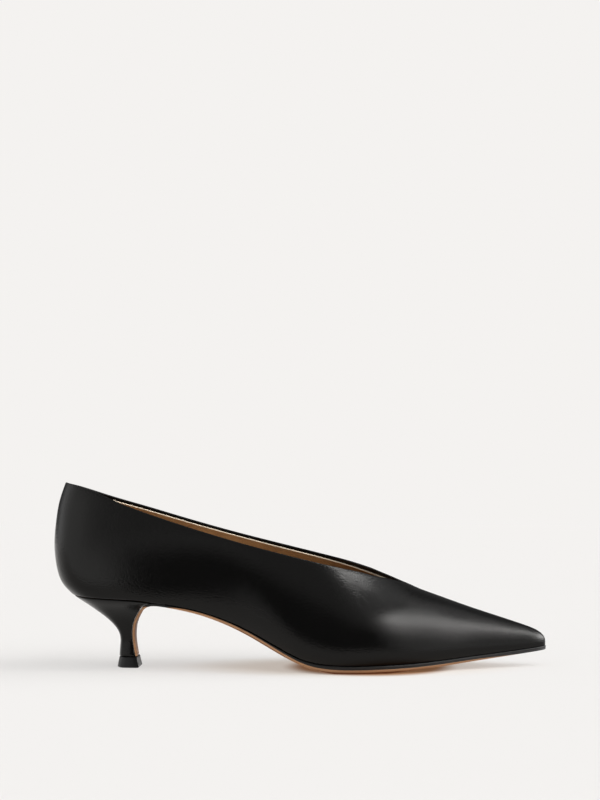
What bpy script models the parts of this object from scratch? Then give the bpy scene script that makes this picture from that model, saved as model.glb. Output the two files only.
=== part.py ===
"""Kitten heel pump, the right shoe of a pair.

Metres, +Z up, +X to the toe, lateral side at -Y. The tables are in millimetres. A last is drawn
first: X runs from the back of the heel, and each section across it is a cubic on either side. The
upper is the skin of that last cut at the collar, and the sole, heel and insole follow its feather
line, where the upper turns under.
"""

import math
from collections import namedtuple

import bmesh
import bpy
import numpy as np

MM = 0.001

# Driving dimensions
LENGTH = 263.2
BALL_WIDTH = 69.5
HEEL_HEIGHT = 39.5
INSTEP_HEIGHT = 43.0
BACK_HEIGHT = 98.8
WALL = 1.8
GAP = 0.3

# Sole, insole and heel
SOLE_LEDGE = 0.2
SOLE_BEVEL = 0.9
SOLE_EDGE_SHARE = 0.5
FLAP_BEVEL = 0.3
FLAP_EDGE_SHARE = 0.4
INSOLE_THICKNESS = 2.0
INSOLE_INSET = 2.3
TOP_PIECE_HEIGHT = 5.8
TOP_PIECE_SKEW = 0.45
HEEL_FOOT = TOP_PIECE_HEIGHT + GAP

# Places along the last
THROAT = 192.0
VEE_START = 170.0
VEE_POWER = 0.88
BACK_SWEEP = 75.0
WAIST_END = 60.0
SEAT_FRONT = 51.0
SEAT_TURN = 4.0

# Mesh density
STATIONS_BEHIND_THROAT = 32
STATIONS_BEFORE_THROAT = 20
ROWS_UP_WALL = 13
HEEL_LEVELS = 15
HEEL_STATIONS = 16
BREAST_STATIONS = 16
SHARP_ANGLE = math.radians(40)

# Small steps, for slopes in millimetres and in the station parameter, and for meeting points
SLOPE_STEP = 0.1
TURN_STEP = 1e-4
MEETING = 1e-3
HALVINGS = 30

LATERAL, MEDIAL = -1, 1

# Colours
BLACK_LEATHER = (0.012, 0.012, 0.011)
BLACK_RUBBER = (0.020, 0.020, 0.020)
TAN_SOCK = (0.30, 0.17, 0.08)
TAN_SOLE = (0.36, 0.21, 0.11)

# One section of the last. Shares: half and swing of the ball width, ridge of the instep height. The
# drop straightens the flank below the throat.
Section = namedtuple("Section", "along swing half flare rise crown ridge lean drop")
SECTIONS = (
    Section(0, 0.000, 0.000, 0, 16, 0, 2.60, 0, 0),
    Section(8, 0.000, 0.250, 5, 17, 16.5, 2.59, 0, 0),
    Section(22, 0.000, 0.298, 8, 18, 21.5, 2.57, 0, 0),
    Section(45, -0.005, 0.313, 9, 19, 25, 2.50, 0, 0),
    Section(72, -0.018, 0.283, 12, 20, 29, 2.38, 0, 0),
    Section(100, -0.038, 0.285, 14, 21, 32, 2.20, 0, 0),
    Section(125, -0.046, 0.385, 14, 21, 30, 1.97, 0, 0),
    Section(148, -0.032, 0.482, 11.7, 19, 26.8, 1.76, 1, 0),
    Section(168, -0.008, 0.498, 12, 27, 20, 1.45, 2, 14),
    Section(185, 0.015, 0.450, 10, 20, 18.5, 1.10, 3, 5),
    Section(202, 0.032, 0.372, 7.5, 13.5, 18, 0.907, 3, 0),
    Section(220, 0.042, 0.272, 5.5, 10.5, 13.5, 0.756, 2.5, 0),
    Section(236, 0.050, 0.190, 4, 8, 9.5, 0.633, 1.5, 0),
    Section(250, 0.055, 0.118, 2.5, 5.5, 6.3, 0.526, 0.7, 0),
    Section(258.8, 0.058, 0.068, 1.3, 4, 3.7, 0.444, 0.2, 0),
    Section(263.2, 0.058, 0.000, 0, 1, 0, 0.310, 0, 0),
)

# The feather line from the side, as a share of the heel height
Seat = namedtuple("Seat", "along height")
SEAT = (
    Seat(9.4, 1.000),
    Seat(30, 0.965),
    Seat(48, 0.937),
    Seat(60, 0.886),
    Seat(72, 0.828),
    Seat(88, 0.711),
    Seat(105, 0.529),
    Seat(121, 0.314),
    Seat(133, 0.176),
    Seat(147, 0.117),
    Seat(172, 0.111),
    Seat(190, 0.121),
    Seat(207, 0.150),
    Seat(226, 0.191),
    Seat(243, 0.230),
    Seat(263.2, 0.282),
)

# The back of the heel from the side, by height above the feather line
Back = namedtuple("Back", "height setback")
BACK = (
    Back(0, 9.4),
    Back(4.2, 5.3),
    Back(9.5, 2.5),
    Back(17.5, 0.7),
    Back(26.5, 0.0),
    Back(38.5, 0.9),
    Back(49.5, 2.8),
    Back(59.3, 6.1),
)

# The topline from the side behind the throat, as shares of the back height
Collar = namedtuple("Collar", "along lateral medial")
COLLAR = (
    Collar(0, 1.000, 1.000),
    Collar(8, 0.986, 0.973),
    Collar(16, 0.965, 0.949),
    Collar(24, 0.938, 0.925),
    Collar(34, 0.899, 0.897),
    Collar(45, 0.861, 0.867),
    Collar(72, 0.773, 0.787),
    Collar(100, 0.690, 0.708),
    Collar(125, 0.625, 0.645),
    Collar(150, 0.563, 0.582),
    Collar(160, 0.538, 0.557),
    Collar(170, 0.507, 0.528),
)

# The sole's thickness along its length. On the tread it is cut level with the floor.
Sole = namedtuple("Sole", "along thickness")
SOLE = (
    Sole(60, 1.1),
    Sole(72, 1.25),
    Sole(88, 1.6),
    Sole(105, 2.1),
    Sole(121, 2.4),
    Sole(133, 2.7),
    Sole(142, 3.6),
    Sole(152, 4.4),
    Sole(172, 4.4),
    Sole(190, 3.5),
    Sole(207, 3.0),
    Sole(226, 2.5),
    Sole(243, 2.2),
    Sole(263.2, 2.0),
)

# The sole's outer face from the waist down the heel's breast
Breast = namedtuple("Breast", "along height thickness")
BREAST = (
    Breast(56.6, 33.9, 1.2),
    Breast(53.6, 34.0, 1.3),
    Breast(50.8, 33.3, 1.3),
    Breast(48.3, 31.4, 1.3),
    Breast(46.4, 28.5, 1.35),
    Breast(44.7, 25.0, 1.4),
    Breast(43.7, 21.0, 1.35),
    Breast(43.5, 17.0, 1.3),
    Breast(43.75, 13.0, 1.2),
    Breast(44.25, 9.5, 1.1),
    Breast(44.75, 6.4, 1.0),
)

# The heel by share of its height, from the top piece to the seat
Level = namedtuple("Level", "share back half")
HEEL = (
    Level(0.00, 34.8, 7.0),
    Level(0.12, 35.0, 6.6),
    Level(0.25, 35.3, 6.4),
    Level(0.40, 34.4, 7.0),
    Level(0.52, 31.8, 8.3),
    Level(0.64, 27.7, 10.2),
    Level(0.76, 22.3, 13.2),
    Level(0.86, 17.3, 16.6),
    Level(0.93, 13.4, 19.4),
    Level(1.00, 9.6, 21.8),
)

# The top piece from the floor up
TopPiece = namedtuple("TopPiece", "height back front half")
TOP_PIECE = (
    TopPiece(0.0, 34.1, 45.65, 7.5),
    TopPiece(0.4, 33.8, 45.95, 7.8),
    TopPiece(5.3, 34.8, 44.85, 7.1),
    TopPiece(TOP_PIECE_HEIGHT, 35.2, 44.45, 6.7),
)


def smooth_curve(places, values):
    """Returns the natural cubic spline through the values, straight beyond its ends."""
    places = np.array(places, float)
    values = np.array(values, float)
    steps = np.diff(places)
    slopes = np.diff(values) / steps
    count = len(places)
    matrix = np.eye(count)
    right = np.zeros(count)
    for i in range(1, count - 1):
        matrix[i, i - 1 : i + 2] = steps[i - 1], 2 * (steps[i - 1] + steps[i]), steps[i]
        right[i] = 6 * (slopes[i] - slopes[i - 1])
    bends = np.linalg.solve(matrix, right)

    def curve(place):
        i = int(np.clip(np.searchsorted(places, place) - 1, 0, count - 2))
        step = steps[i]
        after = float(np.clip(place, places[0], places[-1])) - places[i]
        start_slope = slopes[i] - step * (2 * bends[i] + bends[i + 1]) / 6
        rate = (bends[i + 1] - bends[i]) / step
        value = values[i] + after * (start_slope + after * (bends[i] / 2 + after * rate / 6))
        beyond = place - places[i] - after
        end_slope = start_slope + after * (bends[i] + after * rate / 2)
        return float(value + beyond * end_slope)

    return curve


def turn_of(along):
    """The station parameter, 0 at the heel's back and 1 at the toe tip, even in angle."""
    return math.acos(np.clip(1 - 2 * along / LENGTH, -1, 1)) / math.pi


def along_of(turn):
    return LENGTH * (1 - math.cos(math.pi * turn)) / 2


def column_curves(rows, place, scales):
    """A smooth curve for each column, against the places of its rows."""
    places = [place(row) for row in rows]
    curves = {}
    for name in rows[0]._fields[1:]:
        values = [getattr(row, name) * scales.get(name, 1) for row in rows]
        curves[name] = smooth_curve(places, values)
    return curves


section = column_curves(
    SECTIONS,
    lambda row: turn_of(row.along),
    {"swing": BALL_WIDTH, "half": BALL_WIDTH, "ridge": INSTEP_HEIGHT},
)
seat = smooth_curve([row.along for row in SEAT], [row.height * HEEL_HEIGHT for row in SEAT])
back = smooth_curve([row.height for row in BACK], [row.setback for row in BACK])
collar = column_curves(
    COLLAR, lambda row: turn_of(row.along), {"lateral": BACK_HEIGHT, "medial": BACK_HEIGHT}
)
sole_thickness = smooth_curve([row.along for row in SOLE], [row.thickness for row in SOLE])
heel_level = column_curves(HEEL, lambda row: row.share, {})


def distances_along(rows):
    """How far each row is from the first, along the line through their places and heights."""
    steps = [math.hypot(two.along - one.along, two.height - one.height) for one, two in zip(rows, rows[1:])]
    return np.concatenate([[0], np.cumsum(steps)])


breast_distances = distances_along(BREAST)
breast = {name: smooth_curve(breast_distances, column) for name, column in zip(Breast._fields, zip(*BREAST))}


def sweep(along):
    """How far the back curve still shapes this station: 1 at the back, 0 past the counter."""
    return 0.5 * (1 + math.cos(math.pi * min(1.0, along / BACK_SWEEP)))


def feather_along(turn):
    along = along_of(turn)
    return along + BACK[0].setback * sweep(along)


def feather_edge(turn, side, inset=0.0):
    """The feather line in plan, moved inwards by the inset."""

    def bare(at):
        return np.array([feather_along(at), section["swing"](at) + side * section["half"](at)])

    point = bare(turn)
    ahead = bare(min(1.0, turn + TURN_STEP)) - bare(max(0.0, turn - TURN_STEP))
    if turn in (0.0, 1.0):
        ahead[0] = 0.0
    outward = side * np.array([-ahead[1], ahead[0]]) / np.linalg.norm(ahead)
    return point - outward * inset


def cubic(points, share):
    rest = 1 - share
    weights = rest**3, 3 * rest**2 * share, 3 * rest * share**2, share**3
    return sum(weight * point for weight, point in zip(weights, points))


def last_point(turn, side, share):
    """A point of the last's skin: share 0 at the feather line, 1 on the ridge."""
    along = along_of(turn)
    swing, half, flare, rise, crown, ridge, lean, drop = (
        section[name](turn) for name in Section._fields[1:]
    )
    foot = seat(feather_along(turn))
    top = swing + lean
    across = cubic((swing + side * half, swing + side * (half + flare), top + side * crown, top), share)
    height = cubic((foot, foot + rise, ridge - drop, ridge), share)
    return np.array([along + back(height - foot) * sweep(along), across, height])


def share_at_height(turn, side, height):
    """Halves the section until its height is the one wanted."""
    low, high = 0.0, 1.0
    for _ in range(HALVINGS):
        middle = (low + high) / 2
        if last_point(turn, side, middle)[2] < height:
            low = middle
        else:
            high = middle
    return low


def collar_share(turn, side):
    """Where the topline cuts a section. Near the throat it closes to the point of the V."""
    along = along_of(turn)
    heights = collar["lateral" if side == LATERAL else "medial"]
    if along <= VEE_START:
        return share_at_height(turn, side, heights(turn))
    start = turn_of(VEE_START)
    left = 1 - share_at_height(start, side, heights(start))
    gone = max(0.0, (THROAT - along) / (THROAT - VEE_START))
    return 1 - left * gone**VEE_POWER


def last_turns():
    """Station parameters from the heel's back to the toe tip, one of them at the throat."""
    throat = turn_of(THROAT)
    behind = np.linspace(0, throat, STATIONS_BEHIND_THROAT + 1)
    before = np.linspace(throat, 1, STATIONS_BEFORE_THROAT + 1)
    return [float(turn) for turn in np.concatenate([behind, before[1:]])]


def finished(mesh, name, colour, roughness):
    """Merges points that meet, shades the mesh smooth and puts it in the scene with its material."""
    bmesh.ops.remove_doubles(mesh, verts=mesh.verts, dist=MEETING * MM)
    bmesh.ops.recalc_face_normals(mesh, faces=mesh.faces)
    data = bpy.data.meshes.new(name)
    mesh.to_mesh(data)
    mesh.free()
    data.shade_smooth()
    data.set_sharp_from_angle(angle=SHARP_ANGLE)
    obj = bpy.data.objects.new(name, data)
    bpy.context.scene.collection.objects.link(obj)
    material = bpy.data.materials.new(name)
    material.use_nodes = True
    shader = material.node_tree.nodes["Principled BSDF"]
    shader.inputs["Base Color"].default_value = (*colour, 1)
    shader.inputs["Roughness"].default_value = roughness
    data.materials.append(material)
    return obj


def add_face(mesh, corners):
    """Adds a face through these points of the mesh, leaving out corners that fall together."""
    kept = []
    for corner in corners:
        if all((corner.co - other.co).length > MEETING * MM for other in kept):
            kept.append(corner)
    if len(kept) > 2:
        mesh.faces.new(kept)


def add_points(mesh, points):
    return [mesh.verts.new([float(value) * MM for value in point]) for point in points]


def skin_rings(mesh, rings):
    """Joins closed rings of points, each to the next."""
    for one, two in zip(rings, rings[1:]):
        for i in range(len(one)):
            j = (i + 1) % len(one)
            add_face(mesh, (one[i], one[j], two[j], two[i]))


def cap_ladder(mesh, ring):
    """Closes a ring whose second half runs back along its first, with rungs across."""
    for i in range(len(ring) // 2 - 1):
        add_face(mesh, (ring[i], ring[i + 1], ring[-2 - i], ring[-1 - i]))


def make_upper():
    """The last's skin from the feather line to the topline, thickened inwards."""
    mesh = bmesh.new()
    turns = last_turns()
    for side in (LATERAL, MEDIAL):
        columns = []
        for turn in turns:
            top = collar_share(turn, side)
            shares = np.linspace(0, top, ROWS_UP_WALL + 1)
            columns.append(add_points(mesh, [last_point(turn, side, share) for share in shares]))
        for one, two in zip(columns, columns[1:]):
            for i in range(ROWS_UP_WALL):
                add_face(mesh, (one[i], two[i], two[i + 1], one[i + 1]))
    obj = finished(mesh, "upper", BLACK_LEATHER, 0.35)
    wall = obj.modifiers.new("wall", "SOLIDIFY")
    wall.thickness = WALL * MM
    wall.offset = -1
    wall.use_even_offset = True
    wall.use_quality_normals = True
    return obj


def make_insole():
    """A board that follows the seat, inside the upper's wall."""
    mesh = bmesh.new()
    turns = last_turns()
    outline = [feather_edge(turn, LATERAL, INSOLE_INSET) for turn in turns]
    outline += [feather_edge(turn, MEDIAL, INSOLE_INSET) for turn in reversed(turns)]
    rings = []
    for lift in (0.0, INSOLE_THICKNESS):
        rings.append(add_points(mesh, [(x, y, seat(x) + lift) for x, y in outline]))
    skin_rings(mesh, rings)
    for ring in rings:
        cap_ladder(mesh, ring)
    return finished(mesh, "insole", TAN_SOCK, 0.5)


def forepart_ring(turn):
    """The sole's section at a station, round its upper face, edge and bevelled outer face."""
    corners = ("face", 0, 0), ("edge", 0, SOLE_EDGE_SHARE), ("tread", SOLE_BEVEL, 1)
    ring = {}
    for side in (LATERAL, MEDIAL):
        for name, inset, share in corners:
            x, y = feather_edge(turn, side, inset - SOLE_LEDGE)
            slope = (seat(x + SLOPE_STEP) - seat(x - SLOPE_STEP)) / (2 * SLOPE_STEP)
            top = seat(x) - GAP
            bottom = max(0.0, top - sole_thickness(x) * math.hypot(1, slope))
            ring[name, side] = (x, y, top + share * (bottom - top))
    return ring_in_order(ring)


def ring_in_order(ring):
    """The corners of a section in order round it: down the lateral edge and up the medial one."""
    names = ("face", "edge", "tread")
    lateral = [ring[name, LATERAL] for name in names]
    medial = [ring[name, MEDIAL] for name in reversed(names)]
    return lateral + medial


def breast_point(distance, depth):
    """A point of the turned-down sole, this deep behind its outer face, as (along, height)."""
    ahead_x = breast["along"](distance + SLOPE_STEP) - breast["along"](distance - SLOPE_STEP)
    ahead_z = breast["height"](distance + SLOPE_STEP) - breast["height"](distance - SLOPE_STEP)
    length = math.hypot(ahead_x, ahead_z)
    x = breast["along"](distance) + depth * ahead_z / length
    return x, breast["height"](distance) - depth * ahead_x / length


def heel_share(x, z):
    """How high a point is on the heel: 0 at the top piece and 1 at the seat above it."""
    return (z - HEEL_FOOT) / (seat(x) - GAP - HEEL_FOOT)


def breast_ring(distance):
    """The turned-down sole's section, as wide as the heel is there."""
    corners = ("face", 1, 0), ("edge", FLAP_EDGE_SHARE, 0), ("tread", 0, FLAP_BEVEL)
    half = heel_level["half"](heel_share(breast["along"](distance), breast["height"](distance)))
    ring = {}
    for side in (LATERAL, MEDIAL):
        for name, share, narrower in corners:
            x, z = breast_point(distance, share * breast["thickness"](distance))
            ring[name, side] = (x, side * (half - narrower), z)
    return ring_in_order(ring)


def make_outsole():
    """One strip of leather from the toe tip through the waist and down the heel's breast."""
    mesh = bmesh.new()
    turns = [turn for turn in reversed(last_turns()) if feather_along(turn) > WAIST_END]
    sections = [forepart_ring(turn) for turn in turns]
    sections += [breast_ring(distance) for distance in np.linspace(0, breast_distances[-1], BREAST_STATIONS)]
    rings = [add_points(mesh, ring) for ring in sections]
    skin_rings(mesh, rings)
    add_face(mesh, rings[-1])
    return finished(mesh, "outsole", TAN_SOLE, 0.45)


def seat_outline():
    """The heel seat's outline as shares of its own depth and half-width, out along the lateral side."""
    turns = np.linspace(0, turn_of(SEAT_FRONT), HEEL_STATIONS)
    lateral = [feather_edge(turn, LATERAL) for turn in turns]
    medial = [feather_edge(turn, MEDIAL) for turn in reversed(turns)]
    outline = np.array(lateral + medial)
    outline[:, 0] -= outline[:, 0].min()
    return outline / (outline[:, 0].max(), np.abs(outline[:, 1]).max())


def heel_front_curve():
    """The heel's front by share of its height, just behind the turned-down sole."""
    distances = np.linspace(breast_distances[-1], SEAT_TURN, BREAST_STATIONS)
    points = [breast_point(distance, breast["thickness"](distance) + GAP) for distance in distances]
    return smooth_curve([heel_share(x, z) for x, z in points], [x for x, _ in points])


def make_heel():
    """The seat's outline drawn in, level by level, to the top piece."""
    mesh = bmesh.new()
    outline = seat_outline()
    heel_front = heel_front_curve()
    rings = []
    for step in np.linspace(0, 1, HEEL_LEVELS):
        share = math.sin(step * math.pi / 2)
        rear = heel_level["back"](share)
        front = heel_front(share)
        half = heel_level["half"](share)
        ring = []
        for deep, wide in outline:
            x = rear + deep * (front - rear)
            ring.append((x, wide * half, HEEL_FOOT + share * (seat(x) - GAP - HEEL_FOOT)))
        rings.append(add_points(mesh, ring))
    skin_rings(mesh, rings)
    cap_ladder(mesh, rings[0])
    cap_ladder(mesh, rings[-1])
    return finished(mesh, "heel", BLACK_LEATHER, 0.35)


def make_top_piece():
    """The seat's outline again, small and a little skewed, from the floor to the heel's foot."""
    mesh = bmesh.new()
    outline = seat_outline()
    rings = []
    for row in TOP_PIECE:
        ring = []
        for deep, wide in outline:
            front = row.front + TOP_PIECE_SKEW * wide
            ring.append((row.back + deep * (front - row.back), wide * row.half, row.height))
        rings.append(add_points(mesh, ring))
    skin_rings(mesh, rings)
    cap_ladder(mesh, rings[0])
    cap_ladder(mesh, rings[-1])
    return finished(mesh, "heel_top_piece", BLACK_RUBBER, 0.5)


def stand(objects):
    """Parents the pieces to an empty that puts the middle of their box over the origin."""
    corners = np.array([corner for obj in objects for corner in obj.bound_box])
    middle = (corners.min(axis=0) + corners.max(axis=0)) / 2
    shoe = bpy.data.objects.new("shoe", None)
    shoe.location = (-middle[0], -middle[1], 0)
    bpy.context.scene.collection.objects.link(shoe)
    for obj in objects:
        obj.parent = shoe


def clear_scene():
    for obj in list(bpy.data.objects):
        bpy.data.objects.remove(obj, do_unlink=True)


def main():
    clear_scene()
    stand([make_upper(), make_insole(), make_outsole(), make_heel(), make_top_piece()])


main()
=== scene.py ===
"""Kitten heel pump: its leather, lining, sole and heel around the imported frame, on a plain stage.

The tables are in millimetres along the last that the shoe is made on: X from the back of the heel,
the lateral side at -Y, Z from the floor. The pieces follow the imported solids, with the finer forms
that a maker gives them: a folded topline, a lining with a cut edge, an inked sole edge, soft edges.
"""

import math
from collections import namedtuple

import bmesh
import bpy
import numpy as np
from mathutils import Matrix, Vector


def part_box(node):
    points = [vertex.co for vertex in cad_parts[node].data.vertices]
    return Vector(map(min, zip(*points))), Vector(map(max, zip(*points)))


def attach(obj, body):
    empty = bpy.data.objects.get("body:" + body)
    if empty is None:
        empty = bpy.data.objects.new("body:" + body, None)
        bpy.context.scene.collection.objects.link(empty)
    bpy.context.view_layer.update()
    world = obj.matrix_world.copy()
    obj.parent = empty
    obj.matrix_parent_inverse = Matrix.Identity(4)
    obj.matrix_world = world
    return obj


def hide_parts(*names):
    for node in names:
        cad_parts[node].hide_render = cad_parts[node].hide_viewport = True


bl_info = {
    "name": "Kitten Heel Pump",
    "version": (1, 0, 0),
    "blender": (4, 5, 0),
    "location": "3D View > Sidebar > Pump",
    "description": "Makes the leather, lining, sole and heel of a kitten heel pump around its packed frame",
    "category": "Object",
}

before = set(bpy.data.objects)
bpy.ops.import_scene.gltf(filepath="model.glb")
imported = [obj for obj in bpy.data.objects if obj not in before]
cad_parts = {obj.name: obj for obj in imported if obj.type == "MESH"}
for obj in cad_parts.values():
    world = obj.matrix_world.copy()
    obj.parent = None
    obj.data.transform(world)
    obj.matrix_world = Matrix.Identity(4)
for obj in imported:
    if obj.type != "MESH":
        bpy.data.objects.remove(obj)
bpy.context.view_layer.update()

MM = 0.001

# Driving dimensions of the last and the solids
LENGTH = 263.2
BALL_WIDTH = 69.5
HEEL_HEIGHT = 39.5
INSTEP_HEIGHT = 43.0
BACK_HEIGHT = 98.8
GAP = 0.3
SOLE_LEDGE = 0.2
INSOLE_THICKNESS = 2.0
TOP_PIECE_HEIGHT = 5.8
TOP_PIECE_SKEW = 0.45
HEEL_FOOT = TOP_PIECE_HEIGHT + GAP

# Places along the last
THROAT = 192.0
VEE_START = 170.0
VEE_POWER = 0.88
BACK_SWEEP = 75.0
WAIST_END = 60.0
SEAT_FRONT = 51.0
SEAT_TURN = 4.0

# Mesh density
STATIONS_BEHIND_THROAT = 170
STATIONS_BEFORE_THROAT = 96
ROWS_UP_WALL = 40
HIDDEN_ROW_STEP = 4
FOLD_STEPS = 8
ACROSS_SOCK = 17
ACROSS_TREAD = 9
HEEL_LEVELS = 56
HEEL_STATIONS = 44
BREAST_STATIONS = 64
CUT_EDGE_SIDES = 10
CUT_EDGE_SPACING = 0.9

# Station parameters: close beside the back seam, where the even ones start, and in the middle
SEAM_TURNS = (0.0, 0.0008, 0.0017, 0.0028, 0.0042, 0.0062, 0.009)
EVEN_START = 0.013
MIDDLE_TURN = 0.5

# Small steps for slopes, in millimetres and in the parameters, then what counts as a meeting, the
# shortest length that has a direction, and how often a search halves
SLOPE_STEP = 0.1
TURN_STEP = 1e-4
SHARE_STEP = 1e-3
MEETING = 2e-3
MEETING_SHARE = 1e-9
NO_LENGTH = 1e-12
HALVINGS = 30

LATERAL, MEDIAL = -1, 1

# One section of the last. Shares: half and swing of the ball width, ridge of the instep height. The
# drop straightens the flank below the throat.
Section = namedtuple("Section", "along swing half flare rise crown ridge lean drop")
SECTIONS = (
    Section(0, 0.000, 0.000, 0, 16, 0, 2.60, 0, 0),
    Section(8, 0.000, 0.250, 5, 17, 16.5, 2.59, 0, 0),
    Section(22, 0.000, 0.298, 8, 18, 21.5, 2.57, 0, 0),
    Section(45, -0.005, 0.313, 9, 19, 25, 2.50, 0, 0),
    Section(72, -0.018, 0.283, 12, 20, 29, 2.38, 0, 0),
    Section(100, -0.038, 0.285, 14, 21, 32, 2.20, 0, 0),
    Section(125, -0.046, 0.385, 14, 21, 30, 1.97, 0, 0),
    Section(148, -0.032, 0.482, 11.7, 19, 26.8, 1.76, 1, 0),
    Section(168, -0.008, 0.498, 12, 27, 20, 1.45, 2, 14),
    Section(185, 0.015, 0.450, 10, 20, 18.5, 1.10, 3, 5),
    Section(202, 0.032, 0.372, 7.5, 13.5, 18, 0.907, 3, 0),
    Section(220, 0.042, 0.272, 5.5, 10.5, 13.5, 0.756, 2.5, 0),
    Section(236, 0.050, 0.190, 4, 8, 9.5, 0.633, 1.5, 0),
    Section(250, 0.055, 0.118, 2.5, 5.5, 6.3, 0.526, 0.7, 0),
    Section(258.8, 0.058, 0.068, 1.3, 4, 3.7, 0.444, 0.2, 0),
    Section(263.2, 0.058, 0.000, 0, 1, 0, 0.310, 0, 0),
)

# The feather line from the side, as a share of the heel height
Seat = namedtuple("Seat", "along height")
SEAT = (
    Seat(9.4, 1.000),
    Seat(30, 0.965),
    Seat(48, 0.937),
    Seat(60, 0.886),
    Seat(72, 0.828),
    Seat(88, 0.711),
    Seat(105, 0.529),
    Seat(121, 0.314),
    Seat(133, 0.176),
    Seat(147, 0.117),
    Seat(172, 0.111),
    Seat(190, 0.121),
    Seat(207, 0.150),
    Seat(226, 0.191),
    Seat(243, 0.230),
    Seat(263.2, 0.282),
)

# The back of the heel from the side, by height above the feather line
Back = namedtuple("Back", "height setback")
BACK = (
    Back(0, 9.4),
    Back(4.2, 5.3),
    Back(9.5, 2.5),
    Back(17.5, 0.7),
    Back(26.5, 0.0),
    Back(38.5, 0.9),
    Back(49.5, 2.8),
    Back(59.3, 6.1),
)

# The topline from the side behind the throat, as shares of the back height
Collar = namedtuple("Collar", "along lateral medial")
COLLAR = (
    Collar(0, 1.000, 1.000),
    Collar(8, 0.986, 0.973),
    Collar(16, 0.965, 0.949),
    Collar(24, 0.938, 0.925),
    Collar(34, 0.899, 0.897),
    Collar(45, 0.861, 0.867),
    Collar(72, 0.773, 0.787),
    Collar(100, 0.690, 0.708),
    Collar(125, 0.625, 0.645),
    Collar(150, 0.563, 0.582),
    Collar(160, 0.538, 0.557),
    Collar(170, 0.507, 0.528),
)

# The sole's thickness, and how far the black ink reaches down its edge
Sole = namedtuple("Sole", "along thickness ink")
SOLE = (
    Sole(60, 1.1, 1.25),
    Sole(66, 1.18, 0.35),
    Sole(72, 1.25, 0.12),
    Sole(88, 1.6, 0.15),
    Sole(105, 2.1, 0.45),
    Sole(121, 2.4, 0.95),
    Sole(133, 2.7, 1.35),
    Sole(142, 3.6, 1.7),
    Sole(152, 4.4, 1.8),
    Sole(172, 4.4, 1.8),
    Sole(190, 3.5, 1.8),
    Sole(207, 3.0, 1.75),
    Sole(226, 2.5, 1.6),
    Sole(243, 2.2, 1.9),
    Sole(263.2, 2.0, 2.6),
)

# The sole's outer face from the waist down the heel's breast
Breast = namedtuple("Breast", "along height thickness")
BREAST = (
    Breast(56.6, 33.9, 1.2),
    Breast(53.6, 34.0, 1.3),
    Breast(50.8, 33.3, 1.3),
    Breast(48.3, 31.4, 1.3),
    Breast(46.4, 28.5, 1.35),
    Breast(44.7, 25.0, 1.4),
    Breast(43.7, 21.0, 1.35),
    Breast(43.5, 17.0, 1.3),
    Breast(43.75, 13.0, 1.2),
    Breast(44.25, 9.5, 1.1),
    Breast(44.75, 6.4, 1.0),
)

# The heel by share of its height, from the top piece to the seat
Level = namedtuple("Level", "share back half")
HEEL = (
    Level(0.00, 34.8, 7.0),
    Level(0.12, 35.0, 6.6),
    Level(0.25, 35.3, 6.4),
    Level(0.40, 34.4, 7.0),
    Level(0.52, 31.8, 8.3),
    Level(0.64, 27.7, 10.2),
    Level(0.76, 22.3, 13.2),
    Level(0.86, 17.3, 16.6),
    Level(0.93, 13.4, 19.4),
    Level(1.00, 9.6, 21.8),
)

# The top piece from the floor up
TopPiece = namedtuple("TopPiece", "height back front half")
TOP_PIECE = (
    TopPiece(0.0, 34.5, 45.25, 7.1),
    TopPiece(0.12, 34.1, 45.65, 7.5),
    TopPiece(0.4, 33.8, 45.95, 7.8),
    TopPiece(1.2, 33.9, 45.8, 7.72),
    TopPiece(3.0, 34.25, 45.35, 7.4),
    TopPiece(4.7, 34.65, 44.97, 7.17),
    TopPiece(5.3, 34.8, 44.85, 7.1),
    TopPiece(5.65, 35.0, 44.65, 6.9),
    TopPiece(TOP_PIECE_HEIGHT, 35.3, 44.35, 6.6),
)

# The leather's turn under the feather line, as (inwards, down)
TURN_UNDER = ((1.6, 0.1), (0.7, 0.2), (0.22, 0.14))

# The sole's edge above and below the foot of its inked bead, as (outwards, share of the way down)
BEAD_EDGE = ((-0.35, 0.0), (-0.03, 0.08), (0.1, 0.35), (0.1, 0.7), (-0.02, 0.97))
TAN_EDGE = ((-0.07, 0.06), (0.02, 0.18), (0.05, 0.45), (-0.08, 0.74), (-0.4, 0.94), (-0.9, 1.0))

# The turned-down sole's edge, as (inwards, share of its thickness from the heel outwards)
FLAP_EDGE = (
    (0.2, 0.0), (0.06, 0.04), (0.0, 0.14), (0.0, 0.26), (0.0, 0.38),
    (0.0, 0.5), (0.0, 0.6), (0.0, 0.7), (0.05, 0.8), (0.12, 0.9), (0.3, 1.0),
)
# Along the breast, where the ink on that edge starts to draw back and where it is gone, and a margin
# that keeps its last trace off
FLAP_INK_START = 5.2
FLAP_INK_REACH = 8.0
INK_MARGIN = 0.02

# The inked bead at most, as a share of the sole's thickness, and at least
BEAD_HEIGHT = 1.25
BEAD_SHARE = 0.5
BEAD_LEAST = 0.2

# How far the sole's hidden face reaches in, at most and as shares of the half-width, and the mark that
# keeps the tread bare of ink
HIDDEN_REACH = 2.5
SOLE_REACH_SHARE = 0.6
FLAP_REACH_SHARE = 0.4
BARE_TREAD = -1.0

# The heel's softened rims at its foot and under the seat, as (share of its height, inwards), and how
# much of them its front has
FOOT_RIM = ((0.0, 0.35), (0.004, 0.12), (0.012, 0.0))
SEAT_RIM = ((0.968, 0.0), (0.977, 0.16), (0.985, 0.48), (0.992, 1.0), (1.0, 1.8))
FRONT_RIM_SHARE = 0.3

# Where the fold fades before the throat, and the half-width under which layers thin out in the toe
FOLD_FADE = 6.0
TOE_FADE = 6.0

# The closed seam at the back, as (share of its depth, width): a soft ridge and the groove in it
SEAM_RIDGE = (0.35, 1.6)
SEAM_GROOVE = (1.35, 0.32)

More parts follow.
